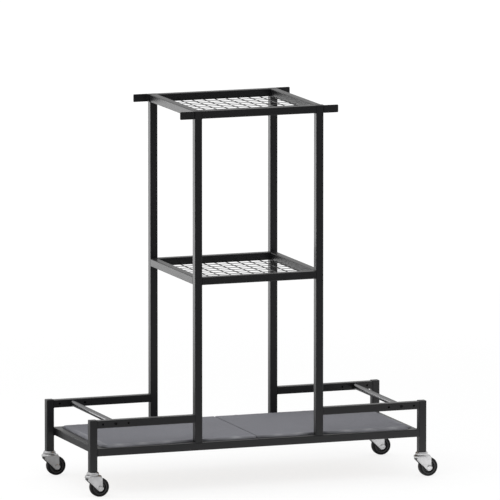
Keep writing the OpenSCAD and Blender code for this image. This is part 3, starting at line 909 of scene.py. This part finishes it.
# %% Rod bolts
HEAD_R, HEAD_H, HEAD_EDGE = 5.25, 3.3, 0.7
SOCKET_R, SOCKET_RIM, SOCKET_LOW = 2.31, 0.25, HEAD_H - 2.0
PLATE_R, PLATE_T, SIXTH = SOCKET_R * 1.02, 0.4, math.tau / 6
ROD_Z = (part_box("stop_rod_left")[0].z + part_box("stop_rod_left")[1].z) / 2
FRONT_Y, REAR_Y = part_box("base_rail_front")[0].y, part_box("base_rail_rear")[1].y


def button_head():
    """A head whose seat is on z = 0, with the six walls of its socket."""
    bm = turned([(SOCKET_R, SOCKET_LOW, 0), (SOCKET_R, HEAD_H, 0.2), (3.2, HEAD_H - 0.05, 2.0),
                 (HEAD_R - 0.6, HEAD_H - 1.3, 2.5), (HEAD_R, HEAD_EDGE, 0.8), (HEAD_R, 0, 0.3),
                 (SOCKET_R, 0, 0)], 48)
    for vert in bm.verts:
        if vert.co.xy.length < (SOCKET_R + SOCKET_RIM) * MM:
            turn = math.atan2(vert.co.y, vert.co.x)
            from_flat = turn - SIXTH * round(turn / SIXTH)
            inwards = math.cos(SIXTH / 2) / math.cos(from_flat)
            vert.co = (vert.co.x * inwards, vert.co.y * inwards, vert.co.z)
    return bm


def socket_floor():
    """The plate that closes the socket."""
    bm = bmesh.new()
    bmesh.ops.create_cone(bm, cap_ends=True, cap_tris=False, segments=6, radius1=PLATE_R * MM,
                          radius2=PLATE_R * MM, depth=PLATE_T * MM)
    bmesh.ops.translate(bm, verts=bm.verts, vec=(0, 0, SOCKET_LOW * MM))
    return bm


bolts = bmesh.new()
head, bottom = button_head(), socket_floor()
for node in ("stop_rod_left", "stop_rod_right"):
    for y, turn in ((FRONT_Y, math.pi / 2), (REAR_Y, -math.pi / 2)):
        where = moved_to((middle(node).x, y, ROD_Z)) @ Matrix.Rotation(turn, 4, "X")
        add_copy(bolts, head, where)
        add_copy(bolts, bottom, where)
head.free()
bottom.free()
piece("button_heads", bolts, bolt_black, "rack", ["rod_bolts"])
print("bolt heads at z =", round(ROD_Z / MM, 1), "mm")

# %% [markdown]
# ## Welds
# Where one tube butts against another, a small bead fills the corner. The welder
# moves in short steps, which leaves a row of ripples. One bead is turned as a thin
# spindle with ripples, and copies lie in the corners; the half inside the tubes
# doesn't show. Flush faces have none, because there the weld was ground flat. The
# inner face of a post is the one that lies nearer to the middle of the rack.

# %% Weld beads
BEAD_R, BEAD_STEP, BEAD_TIP = 1.7, 2.1, 1.2
BEAD_LENGTH = TUBE - 2 * TUBE_ROUND - 1.0
CREST_AT, VALLEY_R = 0.45, BEAD_R * 0.86
FIRST_R, FIRST_OUT, LAST_R, LAST_OUT = BEAD_R * 0.72, 0.4, BEAD_R * 0.6, 0.6


def bead():
    """A rippled spindle along Z, centred on the origin."""
    count = int(BEAD_LENGTH / BEAD_STEP)
    start = -count * BEAD_STEP / 2
    corners = [(0.0, start - BEAD_TIP, 0), (FIRST_R, start - FIRST_OUT, 0)]
    for i in range(count):
        z = start + i * BEAD_STEP
        corners += [(BEAD_R, z + BEAD_STEP * CREST_AT, 0), (VALLEY_R, z + BEAD_STEP, 0)]
    corners += [(LAST_R, -start + LAST_OUT, 0), (0.0, -start + BEAD_TIP, 0)]
    return turned(corners, around=10)


spots = []
for corner in CORNERS:
    row = "front" if corner[0] == "f" else "rear"
    main_low, main_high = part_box(f"main_post_{corner}")
    guard_low, guard_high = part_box(f"guard_rail_{corner}")
    end_face = min((side.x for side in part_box(f"end_post_{corner}")), key=abs)
    inner, outer = sorted((main_low.x, main_high.x), key=abs)
    inner_y = min(main_low.y, main_high.y, key=abs)
    y, base_top = middle(f"main_post_{corner}").y, main_low.z
    for x, z in ((end_face, base_top), (end_face, base_top - TUBE * MM), (end_face, guard_low.z),
                 (outer, base_top), (inner, base_top), (outer, guard_low.z), (outer, guard_high.z)):
        spots.append((Vector((x, y, z)), ALONG_Y))
    for shelf in ("mid", "top"):
        shelf_low, shelf_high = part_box(f"{shelf}_rail_{row}")
        levels = [shelf_low.z] if shelf == "top" else [shelf_low.z, shelf_high.z]
        for z in levels:
            spots.append((Vector((inner, y, z)), ALONG_Y))
            spots.append((Vector(((outer + inner) / 2, inner_y, z)), ALONG_X))

welds = bmesh.new()
one = bead()
for spot, turn in spots:
    add_copy(welds, one, moved_to(spot) @ turn)
one.free()
piece("weld_beads", welds, tube_coat, "rack", sharp=50.0)
print("weld beads:", len(spots))

# %% [markdown]
# ## The deck's covers
# A cover starts as the panel's outline. Its rim is extruded down into a skirt, the
# top edge is rounded, and cuts every 5 mm both ways give the rows of vertices that
# the folds need. The cover is cut loose: a fold of it, as deep as the first three
# steps of the skirt, hangs over the board's edge and lies on the rails. It is wide at
# the outer corners of the front, narrow along the left end, and gone at the seam and
# where a post stands. LOOSE gives its width along each side. About every 80 mm the
# cloth is gathered, and a small tuck stands up from the edge. A low hem runs along
# the left end. A painted highlight makes the loose fold, the tucks and the hem paler.
# Solidify adds the thickness last, on the inner side.

# %% Deck covers
SKIRT, FOLD_DEPTH, LAP = (2.9, 1.7, 1.7, 0.35, 3.85), 6.3, 9.0
DECK_CORNER, SEAM_CORNER, EDGE_SOFT = 14.0, 4.0, 2.4
LATTICE, CLOTH_T, UNEVEN = 5.0, 0.8, 0.25
FIRST_TUCK, GATHERS, SPREAD, TUCK_WIDTH, HIGHLIGHT_WIDTH = 68.0, 80.0, 4.0, 5.0, 15.0
HEM_IN, HEM_WIDTH, HEM_H, HEM_HIGHLIGHT, HEM_END, HEM_FADE = 11.0, 3.2, 0.6, 0.6, 120, 80
TUCK_REACH, FOLD_REACH, HIGHLIGHT_REACH = 7.0, 3.0, 6.0
LOOSE = {
    "front": [(-538, 18), (-480, 19), (-420, 12), (-340, 9), (-262, 3), (-243, 0), (-197, 0),
              (-170, 4), (-90, 8), (-30, 6), (0, 2), (40, 6), (110, 9), (155, 4), (172, 0),
              (218, 0), (240, 4), (320, 13), (400, 18), (513, 19)],
    "rear": [(-538, 2), (-400, 7), (-300, 5), (-245, 0), (-195, 0), (-60, 6), (80, 4),
             (170, 0), (220, 0), (330, 6), (513, 3)],
    "left": [(-202, 5), (-120, 3.5), (40, 2.5), (140, 0.8), (202, 0.3)],
    "right": [(-202, 16), (-150, 12), (-60, 5), (60, 3), (202, 2)]}
random.seed(27)


def cut_lattice(bm, low, high):
    """Cuts the mesh by planes about LATTICE mm apart, along X and along Y."""
    for axis in (0, 1):
        count = int((high[axis] - low[axis]) / LATTICE)
        for i in range(1, count):
            place = Vector((0, 0, 0))
            place[axis] = (low[axis] + i * (high[axis] - low[axis]) / count) * MM
            normal = Vector((0, 0, 0))
            normal[axis] = 1
            bmesh.ops.bisect_plane(bm, geom=bm.verts[:] + bm.edges[:] + bm.faces[:],
                                   dist=0.01 * MM, plane_co=place, plane_no=normal)


def tucks(start, stop):
    """The tucks along an edge: for each its place in mm and its size from 0 to 1."""
    way = 1 if stop > start else -1
    count = 1 + int((abs(stop - start) - FIRST_TUCK) / GATHERS)
    return [(start + way * (FIRST_TUCK + i * GATHERS + random.uniform(-SPREAD, SPREAD)),
             random.uniform(0.5, 1.0)) for i in range(count)]


def tuck(place, row, width):
    """How much of a tuck there is at a place along an edge."""
    return sum(size * math.exp(-((place - spot) / width) ** 2) for spot, size in row)


def wander(place, seed):
    """A value from 0 to 1 that rises and falls slowly with the place."""
    return 0.5 + 0.28 * math.sin(place / 47.0 + seed) + 0.22 * math.sin(place / 19.0 + 2.3 * seed)


def clamp(value, low, high):
    return max(low, min(high, value))


def looseness(place, edge):
    """The width of the fold at a place along an edge, in mm."""
    for (start, wide), (stop, then) in zip(LOOSE[edge], LOOSE[edge][1:]):
        if place <= stop:
            part = clamp((place - start) / (stop - start), 0.0, 1.0)
            return wide + (then - wide) * part * part * (3 - 2 * part)
    return LOOSE[edge][-1][1]


def fold(edge, gap, along, drop, row):
    """What one edge does to a point of the cover: push outwards, lift and painted highlight."""
    slope = drop / FOLD_DEPTH if drop <= FOLD_DEPTH + 0.01 else 0.0
    near, rim = math.exp(-max(0.0, gap) / TUCK_REACH), math.exp(-max(0.0, gap) / FOLD_REACH)
    loose = looseness(along, edge)
    gather = tuck(along, row, TUCK_WIDTH) * min(1.0, 0.35 + loose / 6)
    ripple = math.sin(along / 9.0 + 2.0 * math.sin(along / 41.0)) * min(1.0, loose / 10)
    push = rim * slope * (loose * (1 + 0.05 * ripple) + 1.2 * gather)
    lift = 0.0
    if drop < FOLD_DEPTH:
        lift = near * 0.9 * gather + rim * slope * (1 - slope) * (1.6 * gather + 0.8 * ripple)
    # pale is a painted highlight along a loose fold, strongest at the tucks
    pale = min(1.0, loose / 8) * (0.30 + 0.70 * tuck(along, row, HIGHLIGHT_WIDTH))
    pale *= math.exp(-max(0.0, gap) / HIGHLIGHT_REACH) * clamp(1.4 - drop / 4.0, 0.0, 1.0)
    # the hem along the left end is lifted a little and given a painted highlight
    if edge == "left" and drop < 1:
        hem = math.exp(-((gap - HEM_IN) / HEM_WIDTH) ** 2)
        hem *= clamp((HEM_END - along) / HEM_FADE, 0.0, 1.0)
        lift += HEM_H * hem
        pale = max(pale, HEM_HIGHLIGHT * hem)
    return push, lift, pale


def cover_blank(low, high, ends):
    """The cover before it is pulled: top, rounded edge and skirt."""
    bm = bmesh.new()
    plan = [(low.x, low.y, ends[0]), (high.x, low.y, ends[1]),
            (high.x, high.y, ends[1]), (low.x, high.y, ends[0])]
    top = section(bm, plan, 8)
    bmesh.ops.rotate(bm, verts=bm.verts, cent=(0, 0, 0), matrix=Matrix.Rotation(-math.pi / 2, 3, "X"))
    bmesh.ops.scale(bm, verts=bm.verts, vec=(1, -1, 1))
    bmesh.ops.translate(bm, verts=bm.verts, vec=(0, 0, high.z * MM))
    rim = bm.edges[:]
    for drop in SKIRT:
        grown = bmesh.ops.extrude_edge_only(bm, edges=rim)["geom"]
        moved = [v for v in grown if isinstance(v, bmesh.types.BMVert)]
        rim = [e for e in grown if isinstance(e, bmesh.types.BMEdge)]
        bmesh.ops.translate(bm, verts=moved, vec=(0, 0, -drop * MM))
    bmesh.ops.recalc_face_normals(bm, faces=bm.faces)
    top = max(bm.faces, key=lambda f: len(f.verts))
    soften(bm, list(top.edges), EDGE_SOFT, 4)
    top = max(bm.faces, key=lambda f: len(f.verts))
    if top.normal.z < 0:
        bmesh.ops.reverse_faces(bm, faces=bm.faces)
    cut_lattice(bm, low, high)
    return bm


def pull(bm, side, low, high, ends):
    """Pulls the blank into its folds, and gives it its flat pattern and its painted highlights."""
    row_x = tucks(high.x, low.x) if side == "left" else tucks(low.x, high.x)
    row_y = tucks(low.y, high.y)
    cut = bm.loops.layers.uv.new("cut")
    # this attribute holds the painted highlight of the folds, tucks and hem
    painted_highlight = bm.verts.layers.float.new("painted_highlight")
    shift = {}
    for vert in bm.verts:
        x, y, z = (c / MM for c in vert.co)
        drop = high.z - z
        core = Vector((clamp(x, low.x + ends[0], high.x - ends[1]),
                       clamp(y, low.y + DECK_CORNER, high.y - DECK_CORNER)))
        out = (Vector((x, y)) - core).normalized() if drop > 0 else Vector((0, 0))
        waves = wander(x + 0.6 * y, 1.0) + wander(y - 0.4 * x, 4.0)
        move = Vector((0, 0, UNEVEN * waves if drop < 1 else 0))
        end_gap, end_way = (x - low.x, -1) if side == "left" else (high.x - x, 1)
        for edge, gap, along, row, way_x, way_y in (
                ("front", y - low.y, x, row_x, 0, -1), ("rear", high.y - y, x, row_x, 0, 1),
                (side, end_gap, y, row_y, end_way, 0)):
            push, lift, pale = fold(edge, gap, along, drop, row)
            move += Vector((way_x * push, way_y * push, lift))
            vert[painted_highlight] = max(vert[painted_highlight], pale)
        for loop in vert.link_loops:
            loop[cut].uv = ((x + out.x * drop) * MM, (y + out.y * drop) * MM)
        shift[vert] = move * MM
    for vert, move in shift.items():
        vert.co += move


def deck_cover(side):
    """The cover of one panel, pulled into its folds and given its thickness."""
    low, high = (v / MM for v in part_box(f"deck_cloth_{side}"))
    ends = (DECK_CORNER, SEAM_CORNER) if side == "left" else (SEAM_CORNER, DECK_CORNER)
    bm = cover_blank(low, high, ends)
    pull(bm, side, low, high, ends)
    cover = piece(f"deck_cover_{side}", bm, deck_fabric, "rack",
                  [f"deck_cloth_{side}"], sharp=80.0)
    solid = cover.modifiers.new("thickness", "SOLIDIFY")
    solid.thickness = CLOTH_T * MM
    solid.offset = -1.0
    return cover


for side in ("left", "right"):
    cover = deck_cover(side)
    print(cover.name, "vertices:", len(cover.data.vertices))
